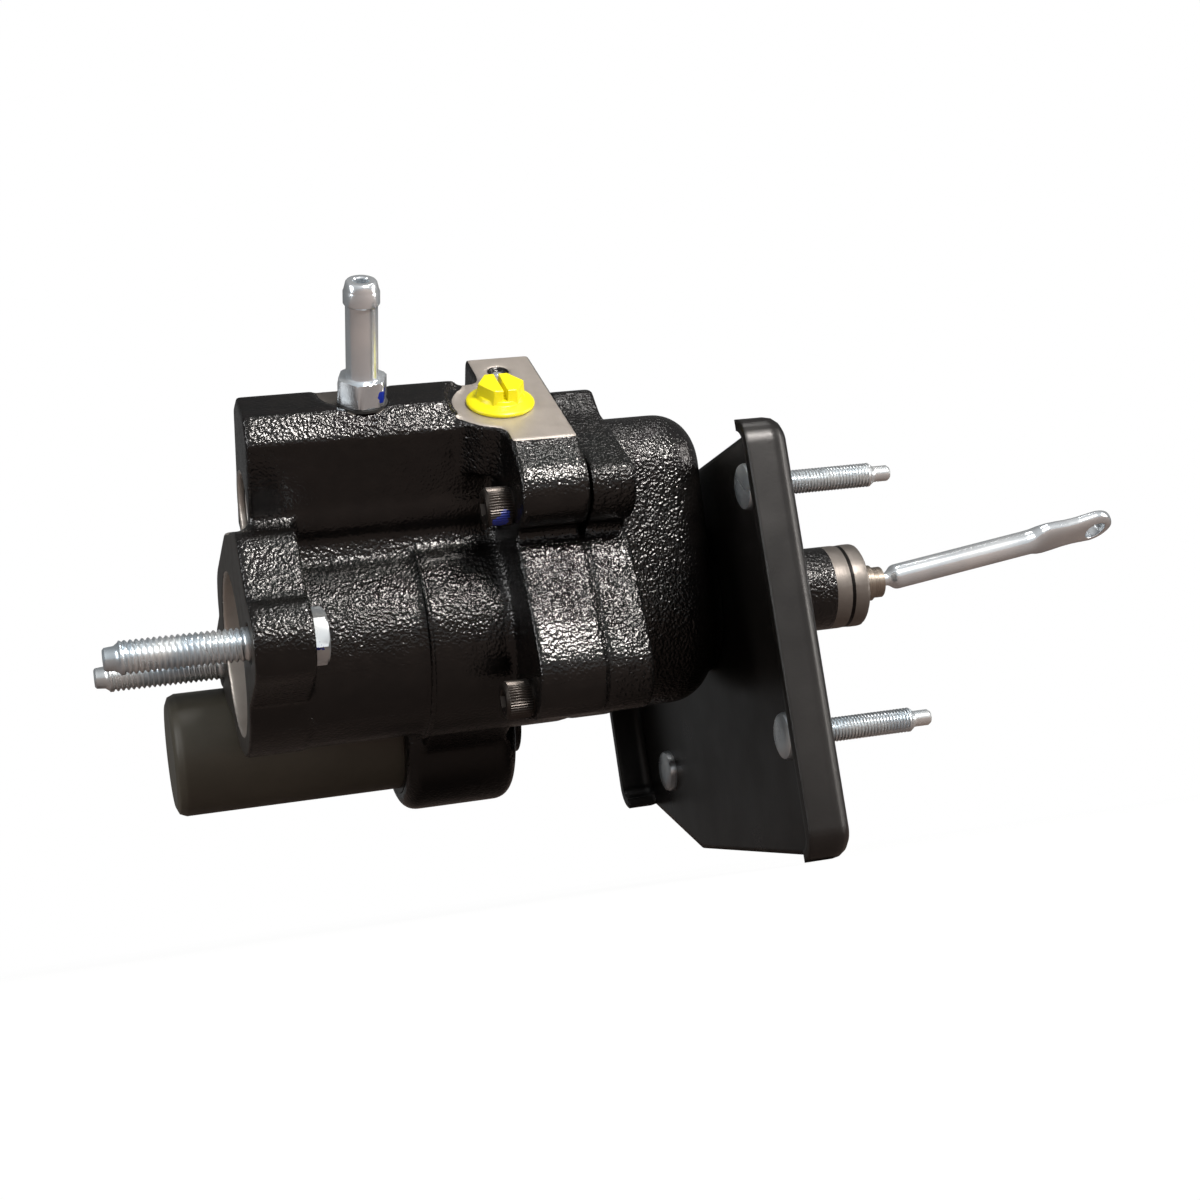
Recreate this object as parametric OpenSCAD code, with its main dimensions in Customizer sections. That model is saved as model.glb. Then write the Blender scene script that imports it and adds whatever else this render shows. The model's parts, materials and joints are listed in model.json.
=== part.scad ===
// Hydraulic brake booster: a cast housing with a power piston and a spool valve,
// a rear cover over the linkage, a pressed firewall bracket, and a gas accumulator.
// X runs from the master cylinder face to the pedal, Z is up, the camera side is -Y.
// The origin is the centre of the master cylinder face, on the power piston's axis.

/* [Housing] */
// Master cylinder face to the joint with the rear cover
housing_len = 98; // [92:1:116]
// Radius of the power piston's barrel
barrel_r = 30; // [28:0.5:36]
// Radius of the power piston
piston_r = 20; // [17:0.5:22]
// Distance from the power piston's axis to the spool valve's axis
spool_dist = 43; // [42:0.5:52]
// Lean of the spool valve's axis from upright, towards -Y
spool_lean = 22.5; // [10:0.5:30]
// Tilt of the hose ports from upright, towards -Y
port_tilt = 40; // [30:1:48]
// Height of the machined port face above the spool valve's axis
port_h = 29; // [27:0.5:35]
// Half width of the valve block
block_half = 13; // [12.5:0.5:16]
// Thickness of the housing's rear flange
flange_t = 20; // [17:0.5:24]

/* [Master cylinder mount] */
// Distance between the two master cylinder bolts
mc_spacing = 85.7; // [82:0.1:102.8]
// Diameter of the master cylinder bolts
mc_bolt_d = 9.5; // [8:0.1:11.4]
// Length of bolt thread in front of the face
mc_bolt_len = 39; // [32:1:47]
// Roll of the bolt line about the X axis
mc_roll = 4; // [0:0.5:8]
// Thickness of the front mounting flange
mc_flange_t = 17; // [15:0.5:20]
// Radius of the pilot recess in the face
pilot_r = 24; // [22.5:0.5:26]

/* [Rear cover] */
// Thickness of the cover's flange
cover_flange_t = 13; // [11:0.5:15.6]
// Depth of the cover from its flange face to the bracket
cover_len = 47; // [45:1:56]
// Radius of the neck that the pedal rod leaves
neck_r = 13.2; // [12:0.1:15.8]
// Length of the neck behind the bracket
neck_len = 49; // [43:1:59]

/* [Bracket] */
// Width of the firewall bracket
bracket_w = 176; // [160:1:210]
// Top edge of the bracket above the axis
bracket_top = 39; // [34:1:46]
// Bottom edge of the bracket below the axis
bracket_bottom = 84; // [72:1:100]
// Sheet thickness of the bracket
bracket_t = 3.2; // [2.6:0.1:3.8]
// Depth of the bracket's folded sides
fold_depth = 13; // [11:0.1:15]
// Sideways distance between the firewall studs
stud_span_y = 116.4; // [100:0.1:130]
// Height between the firewall studs
stud_span_z = 72.4; // [60:0.1:84]
// Height of the stud pattern's centre
stud_mid_z = -12; // [-16:0.5:-9]
// Diameter of the firewall studs
stud_d = 7; // [6:0.1:8.4]
// Length of stud behind the bracket
stud_len = 40.5; // [34:0.5:48]

/* [Accumulator] */
// Radius of the accumulator can
can_r = 19.5; // [16.5:0.5:20.5]
// Distance that the can stands in front of the face
can_front = 18; // [10:1:22]
// Sideways place of the accumulator's axis
can_y = 57; // [56:0.5:64]
// Height of the accumulator's axis
can_z = -22.5; // [-27:0.5:-19]

/* [Motion parts] */
// Travel of the power piston
stroke = 30; // [24:1:31]
// Radius of the spool valve
spool_r = 5.5; // [4.5:0.1:6.2]
// Radius of the pedal rod
pedal_rod_r = 4; // [3.4:0.1:4.2]
// Length of the pedal rod from its ball to the eye
pedal_rod_len = 82.2; // [68:0.1:98]
// Rise of the pedal rod from the axis at rest
pedal_rise = 7.5; // [0:0.5:9]

/* [Hidden] */
$fn = 64;

// Clearances
run_gap = 0.05;
body_gap = 0.3;
eps = 0.01;

// Places worked out from the driving sizes
spool_y = -spool_dist * sin(spool_lean);
spool_z = spool_dist * cos(spool_lean);
flange_x = housing_len - flange_t;
cover_x = housing_len;
seal_t = 0.4;
cover_face_x = cover_x + seal_t;
bracket_x = cover_face_x + cover_len;
bracket_back_x = bracket_x + bracket_t;
neck_end_x = bracket_back_x + neck_len;
bolt_y = mc_spacing / 2 * cos(mc_roll);
bolt_z = mc_spacing / 2 * sin(mc_roll);

// Bores
spool_bore_r = spool_r + 2.5;
power_bore_r = piston_r + run_gap;
bore_start_x = 16;
piston_front_x = bore_start_x + stroke + 1;
piston_back_x = flange_x + 16;
tail_r = 6;
tail_end_x = cover_face_x + 33;
lever_pin_x = tail_end_x - 7;
lever_pivot_x = lever_pin_x - stroke / 2;
input_r = 9;
chamber_wall = 5;
top_r = 18;
seat_r = 22;

// Screws that hold the cover, mirrored about the line of the two bores
near_screws = [[-45, 28], [-36, -26.5]];
function across(p) = let(
    d = p[0] * -sin(spool_lean) + p[1] * cos(spool_lean))
  [-2 * d * sin(spool_lean) - p[0], 2 * d * cos(spool_lean) - p[1]];
screw_at = [near_screws[0], near_screws[1], across(near_screws[0]), across(near_screws[1])];
screw_d = 7;
screw_head_r = 5.6;
screw_head_h = 8;
screw_bite = 10.5;

// Accumulator boss, valve block, and shanks of the pressed-in bolts
block_x = 6;
boss_x = 53;
boss_len = 36;
boss_end_x = boss_x + boss_len;
shank_grip = 0.6;
mc_shank_r = mc_bolt_d / 2 + shank_grip;
stud_shank_r = stud_d / 2 + shank_grip;
cup_end_x = piston_back_x - 14;
can_wall = 2.4;

// Lays a flat outline in the YZ plane and extrudes it along X
module along_x(x, len) {
  translate([x, 0, 0]) rotate([90, 0, 90]) linear_extrude(len) children();
}

// Round bar along X, centred on a point of the YZ plane
module bar(x0, x1, r, at = [0, 0]) {
  translate([x0, at[0], at[1]]) rotate([0, 90, 0]) cylinder(h = x1 - x0, r = r);
}

// Ring along X
module ring(x0, x1, r_out, r_in, at = [0, 0]) {
  difference() {
    bar(x0, x1, r_out, at);
    bar(x0 - 1, x1 + 1, r_in, at);
  }
}

// Frame of the hose ports: local Z leaves the spool axis along the ports
module port_frame(x = 0, h = 0, side = 0) {
  translate([x, spool_y, spool_z]) rotate([port_tilt, 0, 0]) translate([0, side, h]) children();
}

// The same frame for flat outlines in the YZ plane
module port_plane() {
  translate([spool_y, spool_z]) rotate(port_tilt) children();
}

// Frame of the linkage: local Z runs from the power piston to the spool
module link_frame(x = 0) {
  translate([x, 0, 0]) rotate([spool_lean, 0, 0]) children();
}

spool_at = [spool_y, spool_z];
can_at = [can_y, can_z];

// Helical wire spring along X, as stacked rings joined by a sloping sweep
module coil_spring(x0, x1, r, wire_r, turns, at = [0, 0]) {
  steps = 14;
  pitch = (x1 - x0 - 2 * wire_r) / turns;
  sides = 6;
  count = steps * turns;
  points = [for (i = [0 : count], j = [0 : sides - 1])
    let(a = 360 * i / steps, b = 360 * j / sides,
        x = x0 + wire_r + pitch * turns * i / count + wire_r * sin(b),
        q = r + wire_r * cos(b))
    [x, at[0] + q * cos(a), at[1] + q * sin(a)]];
  faces = concat(
    [[for (j = [0 : sides - 1]) j]],
    [for (i = [0 : count - 1], j = [0 : sides - 1])
      let(k = (j + 1) % sides)
      [i * sides + j, (i + 1) * sides + j, (i + 1) * sides + k, i * sides + k]],
    [[for (j = [sides - 1 : -1 : 0]) count * sides + j]]);
  polyhedron(points, faces, convexity = 10);
}

// Outline of the front mounting flange, with its two bolt ears
ear_r = 12.5;
module mount_outline() {
  rim_r = barrel_r + 0.6;
  rotate(mc_roll) for (side = [-1, 1]) hull() {
    translate([side * mc_spacing / 2, 0]) circle(ear_r, $fn = 32);
    translate([side * 8, 0]) circle(barrel_r - 9, $fn = 32);
  }
  circle(rim_r);
  hull() {
    translate([-36, 20.5]) circle(9, $fn = 32);
    translate([-bolt_y + 3, -bolt_z + 3]) circle(ear_r - 1.5, $fn = 32);
    translate([16, 14]) circle(16, $fn = 32);
    translate([-12, 20]) circle(14, $fn = 32);
  }
}

// Lobes of the flange between the housing and the cover, near side: centres and radii.
// The far side mirrors them across the line of the two bores.
top_lobe = [-50.5, 31];
top_lobe_r = 11;
low_lobes = [[-38.5, -19.5, 14], [-36, -10, 15], [-31, 8, 16.5]];
module joint_outline() {
  hull() {
    for (p = [top_lobe, across(top_lobe)]) translate(p) circle(top_lobe_r, $fn = 32);
    port_plane() translate([0, 10.5]) circle(17, $fn = 32);
    port_plane() translate([2 - strip_half, port_h - 2.01]) circle(2, $fn = 32);
  }
  for (far = [false, true]) hull() {
    for (c = low_lobes) let(p = [c[0], c[1]]) translate(far ? across(p) : p) circle(c[2], $fn = 32);
    circle(barrel_r - 2, $fn = 32);
  }
  circle(barrel_r + 1);
}

// Outline of the linkage chamber
module chamber_outline(grow = 0) {
  hull() {
    circle(barrel_r - chamber_wall + grow, $fn = 48);
    translate(spool_at) circle(top_r - chamber_wall + grow, $fn = 48);
  }
}

// Valve block above the spool, with its chamfered top
block_rise = 3.5;
module block_outline() {
  chamfer = 6;
  top = port_h + block_rise;
  port_plane() polygon([
    [-block_half, -12], [-block_half, top - chamfer], [-block_half + chamfer, top],
    [block_half - chamfer, top], [block_half, top - chamfer], [block_half, -12]]);
}

// Rear flange of the housing, with the machined strip on its top
strip_half = 28;
module flange_outline() {
  joint_outline();
  port_plane() translate([-strip_half, 4]) square([2 * strip_half, port_h - 4]);
}

module housing() {
  ring_x = 53;
  boss_r = can_r + 7.5;
  boss_round = 5;
  arm_root = 24;
  arm_tip = 18;
  arm_len = norm(can_at) * 0.85;
  color([0.07, 0.07, 0.075]) difference() {
    union() {
      along_x(0, mc_flange_t) mount_outline();
      bar(eps, housing_len - 2, barrel_r);
      bar(ring_x, housing_len - 3, barrel_r + 1.3);
      bar(block_x, housing_len - 4, spool_bore_r + 6, spool_at);
      along_x(block_x, flange_x + 4 - block_x) block_outline();
      along_x(mc_flange_t - 1, flange_x - mc_flange_t + 3) polygon([
        [-barrel_r * 0.7, 13], spool_at + [-7, -6], spool_at + [12, 0], [barrel_r * 0.8, 18]]);
      along_x(flange_x, flange_t) flange_outline();
      port_frame(plug_x, port_h - 16, plug_side) cylinder(h = 16, r = port_lobe_r);
      along_x(boss_x + boss_round, boss_len - 2 * boss_round) rotate(atan2(can_z, can_y))
        polygon([[0, arm_root], [arm_len, arm_tip], [arm_len, -arm_tip], [0, -arm_root]]);
      translate([boss_x, can_y, can_z]) rotate([0, 90, 0]) rotate_extrude()
        polygon(round_bar(boss_len, boss_r, boss_round));
    }
    bar(-1, bore_start_x, pilot_r);
    bar(bore_start_x - 1, housing_len + 1, power_bore_r);
    bar(retainer_x - run_gap, retainer_x + 1.6, pilot_r + 1.6);
    bar(block_x - 1, housing_len + 1, spool_bore_r, spool_at);
    bar(block_x - 1, block_x + plug_depth, spool_bore_r + 2, spool_at);
    bar(block_x + 1.5, block_x + 3.1, spool_bore_r + 3.2, spool_at);
    link_frame(housing_len - 12) translate([0, -11, 0]) cube([13, 22, spool_dist]);
    for (side = [-1, 1]) {
      at = side * [bolt_y, bolt_z];
      bar(-1, mc_flange_t + 1, mc_shank_r + run_gap, at);
      bar(mc_flange_t, mc_flange_t + head_h + 1.5, head_af / 2 * 1.25, at);
    }
    for (p = screw_at) {
      bar(flange_x - 1, housing_len + 1, screw_d / 2 + 0.3, p);
      bar(flange_x - screw_head_h - 9, flange_x, screw_head_r + 2.2, p);
    }
    bar(-1, boss_x + 1, can_r + body_gap, can_at);
    bar(boss_x, boss_x + can_seat, can_r, can_at);
    bar(boss_x - 1, boss_x + 1.5, can_r + 1.6, can_at);
    bar(boss_x + can_seat - 1, boss_x + boss_len + 1, feed_r, can_at);
    port_frame(plug_x, 0, plug_side) cylinder(h = port_h + 1, r = port_r);
    port_frame(plug_x, port_h, plug_side) cylinder(h = 10, r = port_lobe_r);
    port_frame(barb_x, 0, barb_side) cylinder(h = port_h + 12, r = barb_thread_r);
    port_frame(barb_x - 2, barb_h, spot_side) cylinder(h = 10, r = spot_r);
    port_frame(barb_x, barb_h, barb_side) cylinder(h = 10, r = barb_seal_r + body_gap);
    port_frame(ball_x, port_h - 8) translate([0, ball_v, 0]) cylinder(h = 9, r = ball_r);
  }
}

// Half outline of a round bar with both ends rounded, for turning about its axis
function round_bar(len, r, q, steps = 6) = concat([[0, 0]],
  [for (i = [0 : steps]) [r - q + q * sin(90 * i / steps), q - q * cos(90 * i / steps)]],
  [for (i = [0 : steps]) [r - q + q * cos(90 * i / steps), len - q + q * sin(90 * i / steps)]],
  [[0, len]]);

// Hose ports
plug_x = flange_x + 3;
plug_side = -4;
port_r = 7;
port_lobe_r = 16;
barb_x = 41;
barb_side = -1.5;
spot_side = 6;
spot_r = 10.8;
barb_seal_r = 7.2;
barb_thread_r = 6;
ball_x = flange_x + 8;
ball_v = 18;
ball_r = 3;
plug_depth = 12;
can_seat = 14;
feed_r = 11;
barb_h = port_h + block_rise - 1;
head_af = 14.3;
head_h = 4.6;
retainer_x = 11;

// The cover's flange is lower than the machined strip, more so at its near end
module cover_flange_outline() {
  difference() {
    joint_outline();
    port_plane() polygon([[-45, port_h - 5], [-5, port_h - 5], [6, port_h - 1],
      [45, port_h - 1], [45, port_h + 20], [-45, port_h + 20]]);
  }
}

module cover() {
  body_x = cover_face_x + cover_flange_t;
  shoulder = 12;
  chamber_len = 31;
  rear_x = bracket_x - 2;
  body_len = rear_x - cover_face_x - 4;
  color([0.07, 0.07, 0.075]) difference() {
    union() {
      along_x(cover_face_x, cover_flange_t) cover_flange_outline();
      translate([cover_face_x + 4, 0, 0]) hull() {
        rotate([0, 90, 0]) rotate_extrude($fn = 64) polygon(domed(body_len, barrel_r, shoulder));
        translate([0, spool_y, spool_z]) rotate([0, 90, 0]) rotate_extrude($fn = 64)
          polygon(domed(body_len, top_r - 1, shoulder));
      }
      bar(rear_x - 8, bracket_x, seat_r);
      bar(bracket_x - eps, bracket_back_x + 9, neck_r + 2);
      bar(bracket_back_x, neck_end_x, neck_r);
    }
    along_x(cover_face_x - 1, chamber_len) chamber_outline();
    bar(cover_face_x, rear_x - 9, barrel_r - 2 * chamber_wall);
    bar(cover_face_x, neck_end_x + 1, input_r + run_gap);
    for (p = screw_at) bar(cover_face_x - 1, cover_face_x + screw_bite + 0.5, screw_d / 2 + run_gap, p);
    ring(neck_end_x - 6.4, neck_end_x - 5, neck_r + 1, neck_r - 1);
  }
}

// Half outline of a bar with only its far end rounded
function domed(len, r, q, steps = 8) = concat([[0, 0], [r, 0]],
  [for (i = [0 : steps]) [r - q + q * cos(90 * i / steps), len - q + q * sin(90 * i / steps)]],
  [[0, len]]);

module cover_seal() {
  color("black") along_x(cover_x, seal_t) difference() {
    chamber_outline(3.5);
    chamber_outline(0.5);
  }
}

module cover_screws() {
  socket_r = 3.2;
  color([0.16, 0.16, 0.17]) for (p = screw_at) {
    bar(flange_x, cover_face_x + screw_bite, screw_d / 2, p);
    difference() {
      bar(flange_x - screw_head_h, flange_x, screw_head_r, p);
      translate([flange_x - screw_head_h - 1, p[0], p[1]]) rotate([0, 90, 0])
        cylinder(h = 5, r = socket_r, $fn = 6);
    }
  }
}

module mount_bolts() {
  dog_len = 4.5;
  color([0.75, 0.77, 0.78]) for (side = [-1, 1]) {
    at = side * [bolt_y, bolt_z];
    bar(-mc_bolt_len + dog_len, 0, mc_bolt_d / 2, at);
    bar(0, mc_flange_t, mc_shank_r, at);
    bar(-mc_bolt_len, -mc_bolt_len + dog_len, mc_bolt_d / 2 - 1.1, at);
    translate([mc_flange_t, at[0], at[1]]) rotate([0, 90, 0])
      cylinder(h = head_h, r = head_af / 2 / cos(30), $fn = 6);
  }
}

// Solid block with the bracket's outline and rounded rear edges
module bracket_block(x0, x1, inset, bend) {
  half = bracket_w / 2;
  round = 8;
  far_low = -bracket_bottom + 26;
  corners = [[-half + round, bracket_top - round, round], [half - round, bracket_top - round, round],
    [-half + round, -bracket_bottom + round, round], [half - round, far_low + round, round],
    [34, -bracket_bottom + 8 + round, round]];
  hull() for (c = corners) translate([x0, c[0], c[1]]) rotate([0, 90, 0])
    rotate_extrude($fn = 32) polygon(domed(x1 - x0, c[2] - inset, bend, 4));
}

// Raised seat that the neck's nut sits on
nut_seat_r = 23;
nut_x = bracket_back_x + 0.8;

module bracket() {
  half = bracket_w / 2;
  fold_x = bracket_back_x - fold_depth;
  bend = 5;
  web_w = bracket_w - 2 * bend - 4;
  color([0.06, 0.06, 0.065]) difference() {
    union() {
      bracket_block(fold_x, bracket_back_x, 0, bend);
      bar(bracket_x + 1, nut_x, nut_seat_r);
    }
    bracket_block(fold_x - 1, bracket_x, bracket_t, bend - bracket_t + 0.5);
    translate([fold_x - 1, -web_w / 2, bracket_top - 20]) cube([bracket_x - fold_x + 1, web_w, 30]);
    translate([fold_x - 1, -web_w / 2, -bracket_bottom - 1]) cube([bracket_x - fold_x + 1, web_w, 40]);
    bar(fold_x, nut_x + 1, neck_r + 2 + run_gap);
    for (y = [-1, 1], z = [-1, 1])
      bar(bracket_x - 1, bracket_back_x + 1, stud_shank_r, stud_at(y, z));
  }
}

function stud_at(y, z) = [y * stud_span_y / 2, stud_mid_z + z * stud_span_z / 2];

module bracket_nut() {
  nut_r = 21;
  nut_h = 7;
  color([0.3, 0.3, 0.3]) difference() {
    translate([nut_x, 0, 0]) rotate([0, 90, 0]) cylinder(h = nut_h, r = nut_r, $fn = 6);
    bar(bracket_x, nut_x + nut_h + 1, neck_r + 2 + run_gap);
  }
}

module firewall_studs() {
  head_r = 6.8;
  dog_len = 6;
  color([0.75, 0.77, 0.78]) for (y = [-1, 1], z = [-1, 1]) {
    at = stud_at(y, z);
    bar(bracket_x - 2.4, bracket_x, head_r, at);
    bar(bracket_x - eps, bracket_back_x, stud_shank_r, at);
    bar(bracket_back_x, bracket_back_x + stud_len - dog_len, stud_d / 2, at);
    bar(bracket_back_x + stud_len - dog_len - eps, bracket_back_x + stud_len, stud_d / 2 - 1.2, at);
  }
}

barb_seal_t = 0.8;
module hose_barb() {
  hex_af = 13;
  hex_h = 7.7;
  tube_len = 22;
  head_len = 7;
  tube_r = 4.6;
  head_r = 5.2;
  base = barb_h + barb_seal_t;
  color([0.8, 0.81, 0.82]) port_frame(barb_x, 0, barb_side) difference() {
    union() {
      translate([0, 0, barb_h - 12]) cylinder(h = 12 + barb_seal_t + eps, r = barb_thread_r - run_gap);
      translate([0, 0, base]) cylinder(h = hex_h, r = hex_af / 2 / cos(30), $fn = 6);
      translate([0, 0, base + hex_h - eps]) cylinder(h = tube_len, r = tube_r);
      translate([0, 0, base + hex_h + tube_len - 2 * eps]) rotate_extrude()
        polygon([[0, 0], [tube_r, 0], [head_r, 0.8], [head_r, head_len * 0.6],
          [head_r - 0.8, head_len], [0, head_len]]);
    }
    translate([0, 0, 1]) cylinder(h = base + hex_h + tube_len + head_len + 5, r = 2.2);
  }
}

module barb_seal() {
  color([0.7, 0.7, 0.7]) port_frame(barb_x, barb_h, barb_side) difference() {
    cylinder(h = barb_seal_t, r = barb_seal_r);
    translate([0, 0, -1]) cylinder(h = barb_seal_t + 2, r = barb_thread_r);
  }
}

module port_plug() {
  flange_h = 3;
  grip_r = 6.3;
  grip_h = 6.5;
  color("yellow") port_frame(plug_x, port_h, plug_side) {
    rotate_extrude() polygon([[0, -9], [port_r - 0.4, -9], [port_r - run_gap, 0],
      [10, 0], [10, 0.8], [7.6, flange_h], [0, flange_h]]);
    difference() {
      translate([0, 0, flange_h - eps]) cylinder(h = grip_h, r1 = grip_r, r2 = grip_r - 0.5, $fn = 6);
      translate([-1, -20, flange_h + 1.5]) cube([2, 40, grip_h]);
    }
  }
}

module passage_ball() {
  color("silver") port_frame(ball_x, port_h - 3.5) translate([0, ball_v, 0]) sphere(ball_r - run_gap);
}

module accumulator_can() {
  corner = 3;
  end_x = boss_x + can_seat;
  color([0.22, 0.21, 0.17]) translate([-can_front, can_y, can_z]) rotate([0, 90, 0]) difference() {
    rotate_extrude() polygon([[0, 0], [can_r - corner, 0], [can_r - corner * 0.3, corner * 0.3],
      [can_r, corner], [can_r, can_front + end_x], [0, can_front + end_x]]);
    translate([0, 0, can_wall]) cylinder(h = can_front + end_x, r = can_r - can_wall);
  }
}

module accumulator_piston() {
  color("gray") difference() {
    bar(gas_piston_x, gas_piston_x + 16, can_r - can_wall - run_gap, can_at);
    bar(gas_piston_x - 1, gas_piston_x + 11, can_r - 6, can_at);
    ring(gas_piston_x + 8, gas_piston_x + 11, can_r, can_r - can_wall - 2, can_at);
  }
}

module piston_seal_ring() {
  color("black") ring(gas_piston_x + 8.2, gas_piston_x + 10.8, can_r - can_wall - run_gap,
    can_r - can_wall - 2 + run_gap, can_at);
}

module accumulator_ring() {
  color([0.2, 0.2, 0.2]) ring(boss_x + 0.2, boss_x + 1.5, can_r + 1.6 - run_gap, can_r, can_at);
}

module accumulator_plug() {
  color([0.08, 0.08, 0.08]) {
    bar(boss_end_x - 9, boss_end_x, feed_r - run_gap, can_at);
    bar(boss_end_x, boss_end_x + 4.5, feed_r + 1.5, can_at);
  }
}

module spool_sleeve() {
  sleeve_x = 30;
  color("silver") difference() {
    ring(sleeve_x, flange_x + 8, spool_bore_r - run_gap, spool_r + run_gap, spool_at);
    for (x = [sleeve_x + 10, sleeve_x + 24, sleeve_x + 38])
      ring(x, x + 4, spool_bore_r + 1, spool_bore_r - 1.2, spool_at);
  }
}

valve_x = 26;
module spool_valve() {
  groove_r = spool_r - 1.6;
  eye_r = spool_r - 0.6;
  color("silver") difference() {
    bar(valve_x, lever_pivot_x + eye_r, spool_r, spool_at);
    for (x = [valve_x + 8, valve_x + 22, valve_x + 36]) ring(x, x + 7, spool_r + 1, groove_r, spool_at);
    link_frame(lever_pivot_x) translate([-7.5, -2.3, spool_dist - 10]) cube([20, 4.6, 20]);
    link_frame(lever_pivot_x) translate([0, -10, spool_dist]) rotate([-90, 0, 0]) cylinder(h = 20, r = 1.5);
  }
}

module spool_pin() {
  color("silver") link_frame(lever_pivot_x) translate([0, -spool_r + 0.8, spool_dist])
    rotate([-90, 0, 0]) cylinder(h = 2 * spool_r - 1.6, r = 1.5);
}

module spool_spring() {
  color("silver") coil_spring(block_x + plug_depth + body_gap, valve_x - body_gap, 3.6, 0.6, 3, spool_at);
}

module spool_end_plug() {
  color("silver") difference() {
    union() {
      bar(block_x + 3.2, block_x + plug_depth - run_gap, spool_bore_r + 2 - run_gap, spool_at);
      bar(block_x + 1.7, block_x + 4, spool_bore_r - 1, spool_at);
    }
    translate([block_x - 1, spool_y, spool_z]) rotate([0, 90, 0]) cylinder(h = 7, r = 3.5, $fn = 6);
  }
}

module spool_plug_ring() {
  color([0.2, 0.2, 0.2]) ring(block_x + 1.6, block_x + 3, spool_bore_r + 3, spool_bore_r, spool_at);
}

lever_leg_y = 7;
lever_leg_t = 3;
lever_pin_r = 2.5;
lever_tilt = atan((lever_pin_x - lever_pivot_x) / spool_dist);

module lever() {
  slot_w = 2 * (lever_pin_r + 0.55);
  slot_top = spool_dist - 4;
  reach = spool_dist + 6.5;
  color([0.55, 0.56, 0.58]) link_frame(lever_pivot_x) translate([0, 0, spool_dist])
    rotate([0, -lever_tilt, 0]) difference() {
      union() {
        translate([0, -2, 0]) rotate([-90, 0, 0]) cylinder(h = 4, r = 4.2);
        translate([-3.5, -2, -18]) cube([7, 4, 18]);
        translate([-4, -lever_leg_y - lever_leg_t, -20]) cube([8, 2 * (lever_leg_y + lever_leg_t), 6]);
        for (y = [-lever_leg_y - lever_leg_t, lever_leg_y])
          translate([-5.5, y, -reach]) cube([11, lever_leg_t, reach - 14]);
      }
      translate([0, -5, 0]) rotate([-90, 0, 0]) cylinder(h = 10, r = 1.5 + run_gap);
      translate([-slot_w / 2, -20, -reach - 1]) cube([slot_w, 40, reach + 1 - slot_top + 1]);
    }
}

module power_piston() {
  cup_r = 14;
  color("silver") difference() {
    union() {
      bar(piston_front_x, piston_back_x, piston_r);
      bar(piston_back_x - eps, tail_end_x, tail_r);
    }
    bar(piston_front_x - 1, cup_end_x, cup_r);
    bar(cup_end_x - 1, cup_end_x + rod_seat, rod_r + run_gap);
    ring(piston_back_x - 9, piston_back_x - 6, piston_r + 1, piston_r - 2.4);
    link_frame(lever_pin_x) translate([0, -20, 0]) rotate([-90, 0, 0]) cylinder(h = 40, r = lever_pin_r);
  }
}

module power_piston_seal() {
  color("black") ring(piston_back_x - 8.8, piston_back_x - 6.2, piston_r, piston_r - 2.4 + run_gap);
}

module lever_pin() {
  half = lever_leg_y + lever_leg_t + 0.6;
  color("silver") link_frame(lever_pin_x) translate([0, -half, 0]) rotate([-90, 0, 0])
    cylinder(h = 2 * half, r = lever_pin_r);
}

rod_r = 5;
rod_seat = 8;
module output_rod() {
  tip_x = 8;
  color("silver") {
    bar(tip_x, cup_end_x + rod_seat, rod_r);
    translate([tip_x, 0, 0]) sphere(rod_r);
  }
}

module return_spring() {
  color("silver") coil_spring(bore_start_x + body_gap, cup_end_x - body_gap, 11, 1.4, 8);
}

module spring_retainer() {
  color("silver") ring(retainer_x + 1.7, bore_start_x, pilot_r - run_gap, 8.5);
}

module retainer_ring() {
  color([0.2, 0.2, 0.2]) ring(retainer_x, retainer_x + 1.5, pilot_r + 1.5, pilot_r - 2);
}

ball_x_pos = neck_end_x + 5.8;
input_seal_x = neck_end_x - 60;
rod_ball_r = 3.4;
rod_neck_r = 2.1;
ball_gap = 0.08;
gas_piston_x = boss_x - 2.4;
module input_piston() {
  nose_r = 4.9;
  nose_end_x = ball_x_pos + 2.8;
  color([0.6, 0.58, 0.54]) difference() {
    union() {
      bar(tail_end_x + body_gap, tail_end_x + 18, tail_r);
      bar(tail_end_x + 17, neck_end_x - 1, input_r);
      bar(neck_end_x - 1 - eps, nose_end_x, nose_r);
      bar(neck_end_x - 1 - eps, neck_end_x + 4.9, nose_r + 0.8);
    }
    translate([ball_x_pos, 0, 0]) sphere(rod_ball_r + ball_gap);
    translate([ball_x_pos, 0, 0]) rotate([0, 90, 0])
      cylinder(h = 5, r1 = rod_neck_r + 0.5, r2 = rod_neck_r + 2.2);
    ring(input_seal_x, input_seal_x + 2.6, input_r + 1, input_r - 1.8);
  }
}

module input_seal() {
  color("black") ring(input_seal_x + 0.2, input_seal_x + 2.4, input_r, input_r - 1.8 + run_gap);
}

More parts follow.
